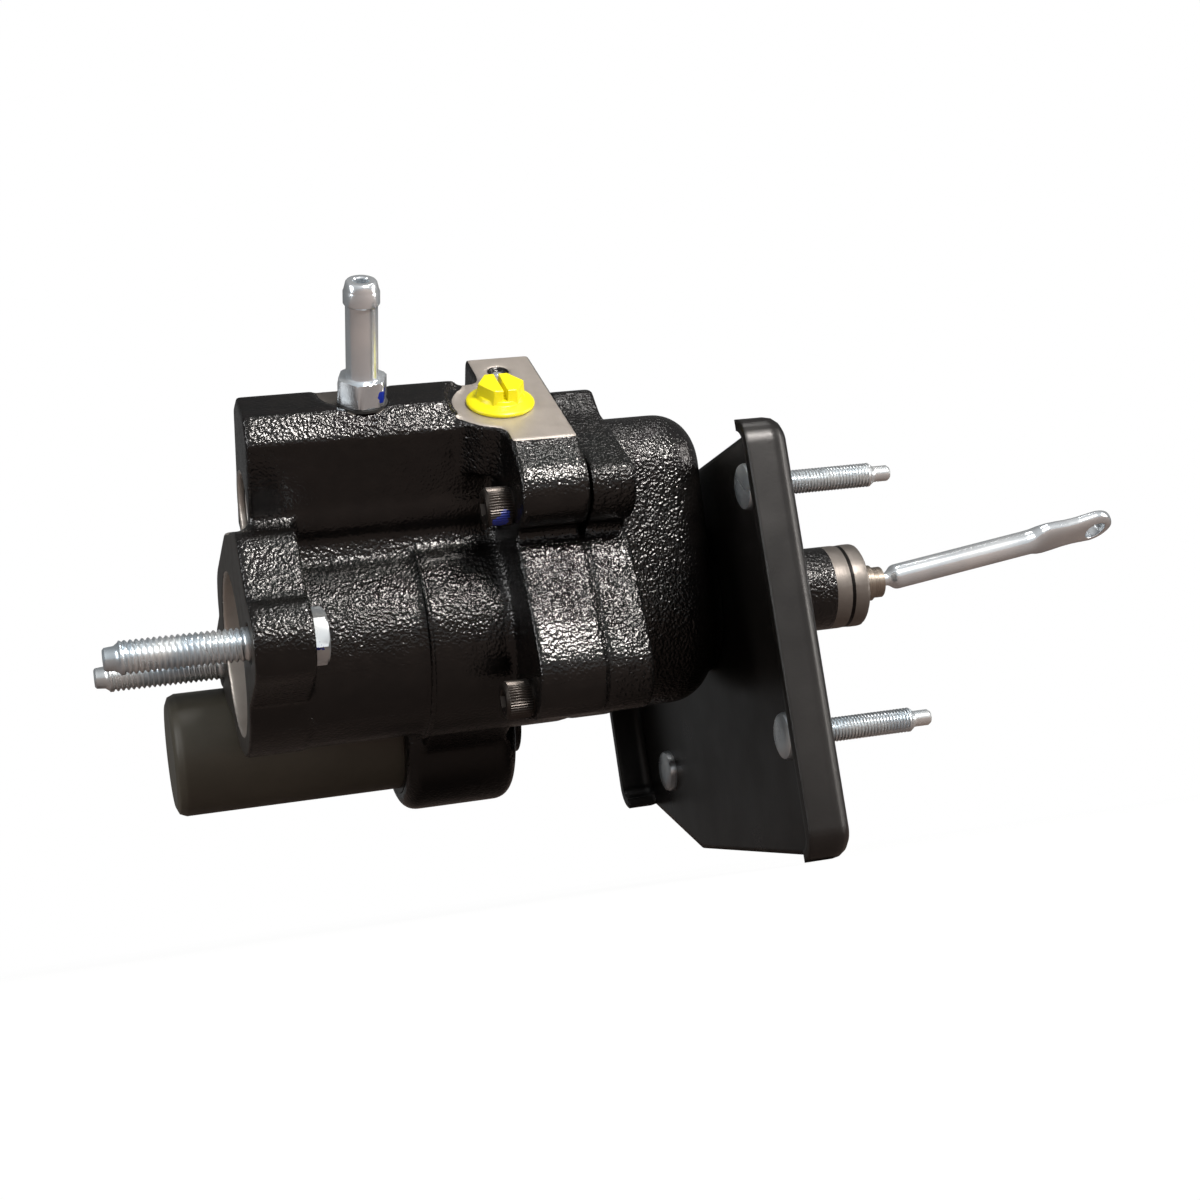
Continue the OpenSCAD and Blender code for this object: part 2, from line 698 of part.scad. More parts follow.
// Pedal rod with its ball, necked start, and a flattened eye rolled about the rod
module pedal_rod() {
  eye_r = 6.6;
  eye_t = 5;
  eye_bore_r = 3.6;
  roll = 62;
  shoulder_x = 8.5;
  color("silver") translate([ball_x_pos, 0, 0]) rotate([0, -pedal_rise, 0]) difference() {
    union() {
      sphere(rod_ball_r);
      rotate([0, 90, 0]) cylinder(h = shoulder_x, r = rod_neck_r);
      translate([shoulder_x - 3, 0, 0]) rotate([0, 90, 0]) cylinder(h = 3, r1 = rod_neck_r, r2 = pedal_rod_r);
      translate([shoulder_x - eps, 0, 0]) rotate([0, 90, 0])
        cylinder(h = pedal_rod_len - shoulder_x - 12, r = pedal_rod_r);
      translate([pedal_rod_len, 0, 0]) rotate([roll, 0, 0]) {
        translate([0, eye_t / 2, 0]) rotate([90, 0, 0]) cylinder(h = eye_t, r = eye_r);
        translate([-6, -eye_t / 2, -eye_r + 1]) cube([6, eye_t, 2 * eye_r - 2]);
        hull() {
          translate([-7, -eye_t / 2, -eye_r + 1]) cube([1 + eps, eye_t, 2 * eye_r - 2]);
          translate([-13.5, 0, 0]) rotate([0, 90, 0]) cylinder(h = 1, r = pedal_rod_r + 0.25, $fn = 32);
        }
      }
    }
    translate([pedal_rod_len, 0, 0]) rotate([roll, 0, 0]) rotate([90, 0, 0])
      translate([0, 0, -10]) cylinder(h = 20, r = eye_bore_r);
  }
}

housing();
cover();
cover_seal();
cover_screws();
mount_bolts();
bracket();
bracket_nut();
firewall_studs();
hose_barb();
barb_seal();
port_plug();
passage_ball();
accumulator_can();
accumulator_ring();
accumulator_plug();
accumulator_piston();
piston_seal_ring();
spool_sleeve();
spool_valve();
spool_spring();
spool_end_plug();
spool_plug_ring();
spool_pin();
lever();
power_piston();
power_piston_seal();
lever_pin();
output_rod();
return_spring();
spring_retainer();
retainer_ring();
input_piston();
input_seal();
pedal_rod();
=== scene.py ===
import json
import math

import bpy
from mathutils import Matrix, Vector


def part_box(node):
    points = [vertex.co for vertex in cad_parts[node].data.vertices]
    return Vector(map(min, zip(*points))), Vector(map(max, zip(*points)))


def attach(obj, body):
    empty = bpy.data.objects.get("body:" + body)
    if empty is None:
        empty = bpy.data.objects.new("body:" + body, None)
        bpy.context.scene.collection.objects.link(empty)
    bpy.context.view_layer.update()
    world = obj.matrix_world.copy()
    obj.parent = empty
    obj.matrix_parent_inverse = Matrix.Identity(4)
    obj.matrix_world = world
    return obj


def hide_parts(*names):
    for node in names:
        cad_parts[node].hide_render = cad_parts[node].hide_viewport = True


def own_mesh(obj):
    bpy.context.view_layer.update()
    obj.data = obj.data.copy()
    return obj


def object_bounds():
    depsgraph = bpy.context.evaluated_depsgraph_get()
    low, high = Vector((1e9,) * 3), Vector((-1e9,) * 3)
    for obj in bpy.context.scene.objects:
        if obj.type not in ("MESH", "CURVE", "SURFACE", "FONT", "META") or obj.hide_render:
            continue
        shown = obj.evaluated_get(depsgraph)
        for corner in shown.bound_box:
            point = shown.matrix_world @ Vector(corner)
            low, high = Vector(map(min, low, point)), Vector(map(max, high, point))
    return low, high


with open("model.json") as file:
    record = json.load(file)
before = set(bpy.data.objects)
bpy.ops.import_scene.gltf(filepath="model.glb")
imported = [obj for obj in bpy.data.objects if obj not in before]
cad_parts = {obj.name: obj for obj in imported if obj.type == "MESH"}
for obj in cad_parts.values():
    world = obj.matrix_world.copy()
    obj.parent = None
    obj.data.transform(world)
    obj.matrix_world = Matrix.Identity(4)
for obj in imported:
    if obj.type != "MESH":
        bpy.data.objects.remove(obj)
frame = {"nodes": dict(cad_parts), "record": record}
cad_low, cad_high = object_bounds()
nodes = frame["nodes"]
MM = 0.001

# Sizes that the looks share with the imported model, in millimetres and degrees
HOUSING_LEN = 98.0
FLANGE_X = 78.0
COVER_SEAL_T = 0.4
SPOOL_DIST = 43.0
SPOOL_LEAN = 22.5
PORT_TILT = 40.0
PORT_H = 29.0
BLOCK_RISE = 3.5
SPOT_DEPTH = 1.0
PILOT_R = 24.0
BRACKET_X = 145.4
BACK_X = 148.6
NECK_END = 197.6
SPOOL_Y = -SPOOL_DIST * math.sin(math.radians(SPOOL_LEAN))
SPOOL_Z = SPOOL_DIST * math.cos(math.radians(SPOOL_LEAN))
SPOOL = Vector((0, SPOOL_Y, SPOOL_Z))
PORT_UP = Vector((0, -math.sin(math.radians(PORT_TILT)), math.cos(math.radians(PORT_TILT))))
PORT_SIDE = Vector((0, math.cos(math.radians(PORT_TILT)), math.sin(math.radians(PORT_TILT))))

# Places of the return hose fitting and of the plug on the ports
BARB_X = 41.0
BARB_SIDE = -1.5
BARB_SEAL_T = 0.8
BARB_BASE = PORT_H + BLOCK_RISE - SPOT_DEPTH + BARB_SEAL_T
PLUG_X = 81.0
PLUG_SIDE = -4.0


def port_point(x, side, height):
    """Point of the port frame: sideways and up from the spool's axis, along the ports."""
    return Vector((x, 0, 0)) + SPOOL + PORT_SIDE * side + PORT_UP * height


# Node graphs

class Graph:
    """A material's node graph, with short calls for the nodes used here."""

    def __init__(self, name):
        self.mat = bpy.data.materials.new(name)
        self.mat.use_nodes = True
        self.tree = self.mat.node_tree
        self.shader = self.tree.nodes["Principled BSDF"]
        coords = self.node("ShaderNodeTexCoord")
        self.where = coords.outputs["Object"]
        self.facing = coords.outputs["Normal"]

    def node(self, kind, **values):
        made = self.tree.nodes.new(kind)
        for key, value in values.items():
            setattr(made, key, value)
        return made

    def link(self, source, target):
        self.tree.links.new(source, target)

    def feed(self, socket, value):
        """A socket takes a link or a plain value."""
        if isinstance(value, bpy.types.NodeSocket):
            self.link(value, socket)
        else:
            socket.default_value = value

    def feed_colour(self, socket, colour):
        """A colour socket takes a link or three numbers."""
        self.feed(socket, colour if isinstance(colour, bpy.types.NodeSocket) else (*colour, 1))

    def math(self, operation, *values):
        made = self.node("ShaderNodeMath", operation=operation)
        for socket, value in zip(made.inputs, values):
            self.feed(socket, value)
        return made.outputs[0]

    def dot(self, vector, axis):
        made = self.node("ShaderNodeVectorMath", operation="DOT_PRODUCT")
        self.link(vector, made.inputs[0])
        made.inputs[1].default_value = axis
        return made.outputs["Value"]

    def noise(self, scale, detail=2.0, rough=0.5, stretch=None):
        made = self.node("ShaderNodeTexNoise")
        made.inputs["Scale"].default_value = scale
        made.inputs["Detail"].default_value = detail
        made.inputs["Roughness"].default_value = rough
        self.link(self.stretched(stretch), made.inputs["Vector"])
        return made.outputs["Fac"]

    def cells(self, scale):
        made = self.node("ShaderNodeTexVoronoi", feature="SMOOTH_F1")
        made.inputs["Scale"].default_value = scale
        self.link(self.where, made.inputs["Vector"])
        return made.outputs["Distance"]

    def stretched(self, stretch):
        if stretch is None:
            return self.where
        made = self.node("ShaderNodeMapping")
        made.inputs["Scale"].default_value = stretch
        self.link(self.where, made.inputs["Vector"])
        return made.outputs[0]

    def span(self, value, low, high, to_low=0.0, to_high=1.0):
        """The value mapped from one range to another, held at its ends."""
        made = self.node("ShaderNodeMapRange")
        for socket, number in zip(made.inputs, (value, low, high, to_low, to_high)):
            self.feed(socket, number)
        return made.outputs[0]

    def mix(self, factor, first, second):
        """Mix of two colours."""
        made = self.node("ShaderNodeMix", data_type="RGBA")
        self.feed(made.inputs[0], factor)
        self.feed_colour(made.inputs[6], first)
        self.feed_colour(made.inputs[7], second)
        return made.outputs[2]

    def blend(self, factor, first, second):
        """Mix of two values."""
        made = self.node("ShaderNodeMix", data_type="FLOAT")
        self.feed(made.inputs[0], factor)
        self.feed(made.inputs[2], first)
        self.feed(made.inputs[3], second)
        return made.outputs[0]

    def blend_normals(self, factor, first, second):
        made = self.node("ShaderNodeMix", data_type="VECTOR")
        self.feed(made.inputs[0], factor)
        self.link(first, made.inputs[4])
        self.link(second, made.inputs[5])
        return made.outputs[1]

    def bump(self, height, distance, strength=1.0, after=None):
        made = self.node("ShaderNodeBump")
        self.feed(made.inputs["Strength"], strength)
        made.inputs["Distance"].default_value = distance
        self.link(height, made.inputs["Height"])
        if after is not None:
            self.link(after, made.inputs["Normal"])
        return made.outputs[0]

    def level_face(self, axis, level, slack=0.35):
        """1 where the surface lies on the plane at that level and faces along the axis."""
        off = self.math("ABSOLUTE", self.math("SUBTRACT", self.dot(self.where, axis), level * MM))
        near = self.math("LESS_THAN", off, slack * MM)
        square = self.math("GREATER_THAN", self.dot(self.facing, axis), 0.9)
        return self.math("MULTIPLY", near, square)

    def within(self, value, low, high):
        above = self.math("GREATER_THAN", value, low)
        below = self.math("LESS_THAN", value, high)
        return self.math("MULTIPLY", above, below)

    def off_axis(self, y=0.0, z=0.0):
        """Distance from a line along X."""
        side = self.math("SUBTRACT", self.dot(self.where, (0, 1, 0)), y * MM)
        up = self.math("SUBTRACT", self.dot(self.where, (0, 0, 1)), z * MM)
        return self.math("SQRT", self.math("ADD", self.math("POWER", side, 2.0),
                                           self.math("POWER", up, 2.0)))

    def finish(self, colour, rough, metal, normal=None):
        inputs = self.shader.inputs
        self.feed_colour(inputs["Base Color"], colour)
        self.feed(inputs["Roughness"], rough)
        self.feed(inputs["Metallic"], metal)
        if normal is not None:
            self.link(normal, inputs["Normal"])
        return self.mat


# Materials

IRON = (0.4, 0.36, 0.325)
IRON_PALE = (0.6, 0.55, 0.5)
IRON_DARK = (0.085, 0.078, 0.072)
PAINT_BLACK = (0.0022, 0.0021, 0.0022)
PAINT_BROWN = (0.006, 0.0052, 0.0048)
# Painted shade: black standing in for the shade inside a groove that the rounding fills
GROOVE_SHADE_BLACK = (0.006, 0.005, 0.0045)
DAB_BLUE = (0.012, 0.03, 0.3)

# Noise scales are cells per metre: the grain of the sand, its cells, and wide patches of both
SAND = 880
SAND_CELLS = 1250
PATCHES = 38
SAND_DEPTH = 0.0006
SWELL_DEPTH = 0.0005
IRON_METAL = 0.8
PLATE_METAL = 0.85


def cast_paint(name, machined=None, smoother=None):
    """Gloss black paint over a rough casting.

    machined(g) gives masks of bare faces: (all of them, the darker ones, a groove whose shade is painted
    black).
    smoother(g) gives a mask of faces with less grain.
    """
    g = Graph(name)
    coarse = g.noise(SAND, 2.5, 0.5)
    grains = g.cells(SAND_CELLS)
    patches = g.span(g.noise(PATCHES, 2.0), 0.35, 0.65)
    skin = g.math("ADD", g.math("MULTIPLY", coarse, 0.7), g.math("MULTIPLY", grains, 0.6))
    amount = g.math("ADD", g.math("MULTIPLY", patches, 0.45), 0.55)
    if smoother is not None:
        amount = g.math("MULTIPLY", amount, g.blend(smoother(g), 1.0, 0.3))
    swell = g.bump(g.noise(95, 2.0), SWELL_DEPTH, 0.4)
    paint_bump = g.bump(g.math("MULTIPLY", skin, amount), SAND_DEPTH, 1.0, swell)
    paint = g.mix(g.span(g.noise(220, 3.0), 0.3, 0.8), PAINT_BLACK, PAINT_BROWN)
    gloss = g.span(g.noise(160, 2.0), 0.3, 0.7, 0.13, 0.22)
    if machined is None:
        return g.finish(paint, gloss, 0.0, paint_bump)
    bare, darker, groove_shade = machined(g)
    lines = g.noise(2600, 2.0, 0.6, (1.0, 0.05, 0.05))
    iron = g.mix(darker, g.mix(g.noise(150, 3.0), IRON, IRON_PALE), IRON_DARK)
    colour = g.mix(groove_shade, g.mix(bare, paint, iron), GROOVE_SHADE_BLACK)
    rough = g.blend(bare, gloss, g.span(lines, 0.2, 0.8, 0.36, 0.52))
    cut_bump = g.bump(lines, 0.00004, 0.5)
    normal = g.blend_normals(bare, paint_bump, cut_bump)
    return g.finish(colour, rough, g.math("MULTIPLY", bare, IRON_METAL), normal)


def housing_bare(g):
    """The machined faces of the housing: port strip, spot face, front face and bores."""
    base = SPOOL.dot(PORT_UP)
    strip = g.level_face(PORT_UP, base + PORT_H)
    spot = g.level_face(PORT_UP, base + PORT_H + BLOCK_RISE - SPOT_DEPTH)
    front = g.level_face((-1, 0, 0), 0)
    along = g.dot(g.where, (1, 0, 0))
    pilot = g.math("MULTIPLY", g.math("LESS_THAN", g.off_axis(), (PILOT_R + 0.6) * MM),
                   g.math("LESS_THAN", along, 40 * MM))
    nose = g.math("MULTIPLY", g.math("LESS_THAN", g.off_axis(SPOOL_Y, SPOOL_Z), 11.4 * MM),
                  g.math("LESS_THAN", along, 30 * MM))
    total = strip
    for mask in (spot, front, pilot, nose):
        total = g.math("MAXIMUM", total, mask)
    return total, g.math("MAXIMUM", g.math("MULTIPLY", spot, 0.8), front), 0.0


def housing_smooth(g):
    """The flat side and top of the valve block carry less grain than the rest."""
    side = g.math("GREATER_THAN", g.dot(g.facing, -PORT_SIDE), 0.96)
    top = g.math("GREATER_THAN", g.dot(g.facing, PORT_UP), 0.96)
    below = g.math("LESS_THAN", g.dot(g.where, (0, 0, 1)), -8 * MM)
    return g.math("MAXIMUM", g.math("MAXIMUM", side, top), g.math("MULTIPLY", below, 0.55))


def cover_bare(g):
    """The machined ring at the end of the cover's neck, with its groove; the rounding fills the groove, so
    its shade is painted black.
    """
    along = g.dot(g.where, (1, 0, 0))
    ring = g.math("GREATER_THAN", along, (NECK_END - 11.3) * MM)
    # Painted shade: the groove is filled by the rounding, so it is painted black
    groove_shade = g.within(along, (NECK_END - 6.3) * MM, (NECK_END - 5.1) * MM)
    return ring, 0.75, groove_shade


def plated(name, colour, rough, tint=None, dabs=()):
    """Zinc or bright steel with faint clouds, and dabs of blue inspection paint at places in mm."""
    g = Graph(name)
    base = g.mix(g.span(g.noise(70, 2.0), 0.35, 0.65), colour, tint or tuple(c * 0.9 for c in colour))
    normal = g.bump(g.noise(300, 1.0), 0.00002, 0.1)
    shine = g.span(g.noise(60, 2.0), 0.3, 0.7, rough - 0.02, rough + 0.03)
    if not dabs:
        return g.finish(base, shine, PLATE_METAL, normal)
    ragged = g.span(g.noise(900, 2.0), 0.2, 0.8, -0.7 * MM, 0.7 * MM)
    dabbed = 0.0
    for place, size in dabs:
        away = g.node("ShaderNodeVectorMath", operation="DISTANCE")
        g.link(g.where, away.inputs[0])
        away.inputs[1].default_value = Vector(place) * MM
        reach = g.math("ADD", away.outputs["Value"], ragged)
        dabbed = g.math("MAXIMUM", dabbed, g.math("LESS_THAN", reach, size * MM))
    metal = g.math("SUBTRACT", PLATE_METAL, g.math("MULTIPLY", dabbed, 0.8))
    return g.finish(g.mix(dabbed, base, DAB_BLUE), shine, metal, normal)


def turned(name, colour, rough):
    """Bare turned iron with fine rings round the X axis."""
    g = Graph(name)
    rings = g.noise(3200, 1.0, 0.5, (1.0, 0.02, 0.02))
    base = g.mix(g.noise(260, 3.0), colour, tuple(c * 0.72 for c in colour))
    return g.finish(base, g.span(rings, 0.3, 0.7, rough - 0.05, rough + 0.08), 0.9,
                    g.bump(rings, 0.00003, 0.5))


def smooth_paint(name, colour, low, high):
    """Satin paint on sheet, whose folds and edges look rounded."""
    g = Graph(name)
    base = g.mix(g.noise(60, 3.0), colour, tuple(c * 1.5 + 0.002 for c in colour))
    edges = g.node("ShaderNodeBevel", samples=6)
    edges.inputs["Radius"].default_value = 1.6 * MM
    normal = g.bump(g.noise(900, 2.0), 0.00006, 0.3, edges.outputs[0])
    return g.finish(base, g.span(g.noise(45, 3.0), 0.3, 0.7, low, high), 0.0, normal)


def plastic(name, colour):
    g = Graph(name)
    base = g.mix(g.span(g.noise(120, 2.0), 0.3, 0.7), colour, tuple(c * 0.82 for c in colour))
    g.shader.inputs["Subsurface Weight"].default_value = 0.12
    g.shader.inputs["Subsurface Radius"].default_value = (0.002, 0.0015, 0.0004)
    return g.finish(base, 0.34, 0.0, g.bump(g.noise(500, 2.0), 0.00008, 0.3))


def rubber(name):
    g = Graph(name)
    base = g.mix(g.noise(300, 2.0), (0.012, 0.012, 0.012), (0.03, 0.03, 0.03))
    return g.finish(base, g.span(g.noise(500, 2.0), 0.3, 0.7, 0.55, 0.7), 0.0,
                    g.bump(g.noise(1500, 2.0), 0.00005, 0.4))


SCREW_DABS = [((74, -47.5, 22.5), 2.4), ((75, -49.5, 24.5), 1.6)]
BOLT_DABS = [((18.5, -48.5, -6.5), 1.4)]
BARB_DABS = [(port_point(BARB_X + 4.8, BARB_SIDE - 4.4, BARB_BASE + 3.6), 2.1)]

looks = {
    "black_paint": cast_paint("black_paint"),
    "satin_black": smooth_paint("satin_black", (0.0035, 0.0029, 0.0026), 0.26, 0.36),
    "can_paint": smooth_paint("can_paint", (0.058, 0.053, 0.04), 0.36, 0.48),
    "rubber": rubber("rubber"),
    "black_oxide": plated("black_oxide", (0.06, 0.053, 0.048), 0.32, None, SCREW_DABS),
    "zinc": plated("zinc", (0.84, 0.86, 0.86), 0.27, (0.6, 0.68, 0.74), BOLT_DABS),
    "bright_steel": plated("bright_steel", (0.9, 0.94, 0.97), 0.2, (0.73, 0.79, 0.84), BARB_DABS),
    "bare_iron": turned("bare_iron", (0.36, 0.31, 0.26), 0.3),
    "aluminium": plated("aluminium", (0.7, 0.7, 0.71), 0.3),
    "spring_steel": plated("spring_steel", (0.35, 0.34, 0.33), 0.35),
    "yellow_plastic": plastic("yellow_plastic", (0.82, 0.74, 0.004)),
}
castings = {
    "housing": cast_paint("housing_paint", housing_bare, housing_smooth),
    "cover": cast_paint("cover_paint", cover_bare),
}
slots = {part["node"]: part["material_slot"] for part in frame["record"]["subparts"]}
for name, node in nodes.items():
    node.data.materials.clear()
    node.data.materials.append(castings.get(name, looks[slots[name]]))


# Rounded castings

CAST_CELL = 0.65 * MM
CAST_FILLET = 2.0 * MM
CAST_WEAR = 3


def add_cells(piece, label, size):
    """A modifier that rebuilds the surface from small cells."""
    remesh = piece.modifiers.new(label, "REMESH")
    remesh.mode = "VOXEL"
    remesh.voxel_size = size
    remesh.use_smooth_shade = True


def add_wear(piece, rounds):
    """A modifier that wears off the outer edges."""
    smooth = piece.modifiers.new("worn_edges", "SMOOTH")
    smooth.factor = 0.5
    smooth.iterations = rounds


def soften(node):
    """Rounds a casting: hollow corners fill to the fillet's radius, outer edges wear off."""
    for offset, label in ((CAST_FILLET, "grown"), (-CAST_FILLET, "shrunk")):
        add_cells(node, f"cells_{label}", CAST_CELL)
        shift = node.modifiers.new(label, "DISPLACE")
        shift.strength = offset
        shift.mid_level = 0.0
    add_cells(node, "cells", CAST_CELL)
    add_wear(node, CAST_WEAR)


soften(nodes["housing"])
soften(nodes["cover"])


# Meshes made of rings of points

def new_piece(name, verts, faces):
    """An object with its own mesh, in the scene."""
    mesh = bpy.data.meshes.new(name)
    mesh.from_pydata(verts, [], faces)
    piece = bpy.data.objects.new(name, mesh)
    bpy.context.collection.objects.link(piece)
    return piece


def skin(rows, sides):
    """Faces between rows of points that go round, with both ends closed."""
    faces = []
    for i in range(rows - 1):
        for k in range(sides):
            n = (k + 1) % sides
            faces.append((i * sides + k, i * sides + n, (i + 1) * sides + n, (i + 1) * sides + k))
    faces.append(tuple(reversed(range(sides))))
    faces.append(tuple(range((rows - 1) * sides, rows * sides)))
    return faces


def shade_smooth(piece):
    for face in piece.data.polygons:
        face.use_smooth = True


def lathe(name, rings, sides, at, axis=(1, 0, 0), spin=0.0, smooth=35):
    """Mesh of rings about an axis, each (place along it, radius or a function of the angle), in mm."""
    verts = []
    for place, radius in rings:
        for k in range(sides):
            turn = 2 * math.pi * k / sides
            size = radius(turn) if callable(radius) else radius
            verts.append((size * MM * math.cos(turn + spin), size * MM * math.sin(turn + spin), place * MM))
    piece = new_piece(name, verts, skin(len(rings), sides))
    upright = Vector(axis).to_track_quat("Z", "Y").to_matrix().to_4x4()
    piece.data.transform(Matrix.Translation(Vector(at) * MM) @ upright)
    piece.data.update()
    shade_smooth(piece)
    piece.data.set_sharp_from_angle(angle=math.radians(smooth))
    return piece


def joined(name, pieces):
    """Several meshes as one piece."""
    bpy.ops.object.select_all(action="DESELECT")
    for piece in pieces:
        piece.select_set(True)
    bpy.context.view_layer.objects.active = pieces[0]
    bpy.ops.object.join()
    pieces[0].name = name
    return pieces[0]


def stand_for(piece, node, body="casing"):
    """The piece takes a CAD node's place, with its material."""
    piece.data.materials.clear()
    piece.data.materials.append(looks[slots[node]])
    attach(piece, body)
    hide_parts(node)
    return piece


def hexagon(across, corner=None):
    """Radius of a hexagon by angle, cut to a corner radius."""
    limit = corner or across

    def radius(turn):
        part = (turn + math.pi / 6) % (math.pi / 3) - math.pi / 6
        return min(across / 2 / math.cos(part), limit)
    return radius


def thread(start, end, radius, depth, pitch):
    """Rings of a screw thread, fading out at both ends."""
    count = int((end - start) / pitch * 6)
    rings = []
    for i in range(count + 1):
        place = start + (end - start) * i / count
        fade = min(1.0, (place - start) / pitch, (end - place) / pitch)

        def size(turn, place=place, fade=fade):
            phase = (place / pitch - turn / (2 * math.pi)) % 1.0
            tooth = abs(phase * 2 - 1)
            return radius - depth * fade * (1 - min(1.0, tooth * 1.25))
        rings.append((place, size))
    return rings


# Master cylinder bolts, with hexagon heads behind the ears and dog points in front
MC_SPACING = 85.7
MC_ROLL = math.radians(4)
MC_R = 4.75
MC_LEN = 39.0
MC_FLANGE = 17.0
MC_DOG = 4.5
MC_PITCH = 1.5875
MC_THREAD_DEPTH = 0.85
HEAD_AF = 14.3
HEAD_H = 4.6

bolts = []
for side in (-1, 1):
    at = (0, side * MC_SPACING / 2 * math.cos(MC_ROLL), side * MC_SPACING / 2 * math.sin(MC_ROLL))
    rings = [(-MC_LEN, 2.6), (-MC_LEN + 0.5, 3.2), (-MC_LEN + MC_DOG - 1.4, 3.45),
             (-MC_LEN + MC_DOG - 0.3, MC_R - 0.5)]
    rings += thread(-MC_LEN + MC_DOG, -0.4, MC_R, MC_THREAD_DEPTH, MC_PITCH)
    rings += [(0.0, MC_R), (MC_FLANGE, MC_R)]
    bolts.append(lathe("bolt", rings, 40, at))
    full = hexagon(HEAD_AF)
    worn = hexagon(HEAD_AF, HEAD_AF / 2 + 0.1)
    head_end = MC_FLANGE + HEAD_H
    head = [(MC_FLANGE, 5.0), (MC_FLANGE, full), (head_end - 0.9, full), (head_end - 0.25, worn),
            (head_end, HEAD_AF / 2 - 0.6), (head_end, 1.0)]
    bolts.append(lathe("head", head, 48, at))
stand_for(joined("mount_bolts_look", bolts), "mount_bolts")

# Firewall studs, with round heads in front of the bracket and dog points behind
STUD_SIDE = 58.2
STUD_MID_Z = -12
STUD_RISE = 36.2
STUD_R = 3.5
STUD_LEN = 40.5
STUD_DOG = 6.0
STUD_DOG_R = STUD_R - 1.2
STUD_PITCH = 1.0
STUD_THREAD_DEPTH = 0.55

tip = BACK_X + STUD_LEN
studs = []
for y in (-STUD_SIDE, STUD_SIDE):
    for z in (STUD_MID_Z - STUD_RISE, STUD_MID_Z + STUD_RISE):
        rings = [(BRACKET_X, STUD_R), (BACK_X, STUD_R)]
        rings += thread(BACK_X + 0.1, tip - STUD_DOG - 0.8, STUD_R, STUD_THREAD_DEPTH, STUD_PITCH)
        rings += [(tip - STUD_DOG - 0.4, STUD_R - 0.3), (tip - STUD_DOG + 0.8, STUD_DOG_R),
                  (tip - 0.9, STUD_DOG_R), (tip - 0.2, STUD_R - 1.7), (tip, STUD_R - 2.3)]
        studs.append(lathe("stud", rings, 36, (0, y, z)))
        cap = [(BRACKET_X - 2.4, 2.0), (BRACKET_X - 2.4, 5.6), (BRACKET_X - 2.0, 6.4),
               (BRACKET_X - 1.2, 6.75), (BRACKET_X, 6.8), (BRACKET_X, 2.0)]
        studs.append(lathe("cap", cap, 48, (0, y, z)))
stand_for(joined("firewall_studs_look", studs), "firewall_studs")

# Cover screws with knurled heads and hexagon sockets
SCREW_R = 3.5
SCREW_HEAD_R = 5.6
SCREW_HEAD_H = 8.0
SCREW_BITE = 10.5
SCREW_END = HOUSING_LEN + COVER_SEAL_T + SCREW_BITE
SOCKET_AF = 5.5
KNURLS = 44
KNURL_DEPTH = 0.16
NEAR_SCREWS = [(-45, 28), (-36, -26.5)]


def mirrored(y, z):
    """The point across the line of the two bores."""
    lean = math.radians(SPOOL_LEAN)
    along = z * math.cos(lean) - y * math.sin(lean)
    return -2 * along * math.sin(lean) - y, 2 * along * math.cos(lean) - z


def knurl(turn):
    return SCREW_HEAD_R - KNURL_DEPTH + KNURL_DEPTH * math.cos(KNURLS * turn)


socket = hexagon(SOCKET_AF)
top = FLANGE_X - SCREW_HEAD_H
head = [(top + 4.2, 0.6), (top + 4.0, lambda t: 0.98 * socket(t)), (top + 0.35, socket),
        (top, lambda t: 1.08 * socket(t)), (top, SCREW_HEAD_R - 0.9), (top + 0.35, SCREW_HEAD_R - 0.45),
        (top + 0.7, SCREW_HEAD_R - 0.35), (top + 0.95, knurl), (FLANGE_X - 0.7, knurl),
        (FLANGE_X - 0.5, SCREW_HEAD_R - 0.4), (FLANGE_X, SCREW_HEAD_R - 0.4), (FLANGE_X, SCREW_R),
        (SCREW_END - 0.6, SCREW_R), (SCREW_END, SCREW_R - 0.6)]
screws = [lathe("screw", head, KNURLS * 6, (0, y, z))
          for y, z in NEAR_SCREWS + [mirrored(*place) for place in NEAR_SCREWS]]
stand_for(joined("cover_screws_look", screws), "cover_screws")

# Return hose barb: hexagon, tube and bead
BARB_AF = 13.0
HEX_H = 7.7
TUBE_R = 4.6
TUBE_LEN = 22.0
BEAD_R = 5.2
BEAD_LEN = 7.0
BARB_BORE_R = 2.2
BARB_SPIN = math.radians(41)

flat = hexagon(BARB_AF)
flat_worn = hexagon(BARB_AF, 7.0)
top = HEX_H + TUBE_LEN
end = top + BEAD_LEN
barb = [(-0.8, 3.0), (-0.8, 5.9), (0, 5.9), (0.0, 6.4), (0.25, flat_worn), (0.7, flat),
        (HEX_H - 0.7, flat), (HEX_H - 0.1, flat_worn), (HEX_H, 6.4), (HEX_H, TUBE_R + 0.7),
        (HEX_H + 0.35, TUBE_R + 0.15), (HEX_H + 0.9, TUBE_R), (top, TUBE_R), (top + 0.1, BEAD_R - 0.25),
        (top + 0.45, BEAD_R), (top + BEAD_LEN * 0.55, BEAD_R), (top + BEAD_LEN * 0.62, BEAD_R - 0.25),
        (top + BEAD_LEN * 0.66, BEAD_R - 0.3), (end - 0.5, BEAD_R - 0.75), (end - 0.1, BEAD_R - 1.1),
        (end, BEAD_R - 1.5), (end, 2.5), (end - 0.4, BARB_BORE_R), (top - 6, BARB_BORE_R), (top - 6, 0.4)]
barb_at = port_point(BARB_X, BARB_SIDE, BARB_BASE)
stand_for(lathe("hose_barb_look", barb, 96, barb_at, PORT_UP, BARB_SPIN), "hose_barb")

# Yellow shipping plug with a slotted hexagonal grip
FLANGE_H = 3.0
GRIP_R = 7.3
GRIP_H = 3.9
SLOT = 0.65
PLUG_EDGE = 0.4 * MM

plug_at = port_point(PLUG_X, PLUG_SIDE, PORT_H)


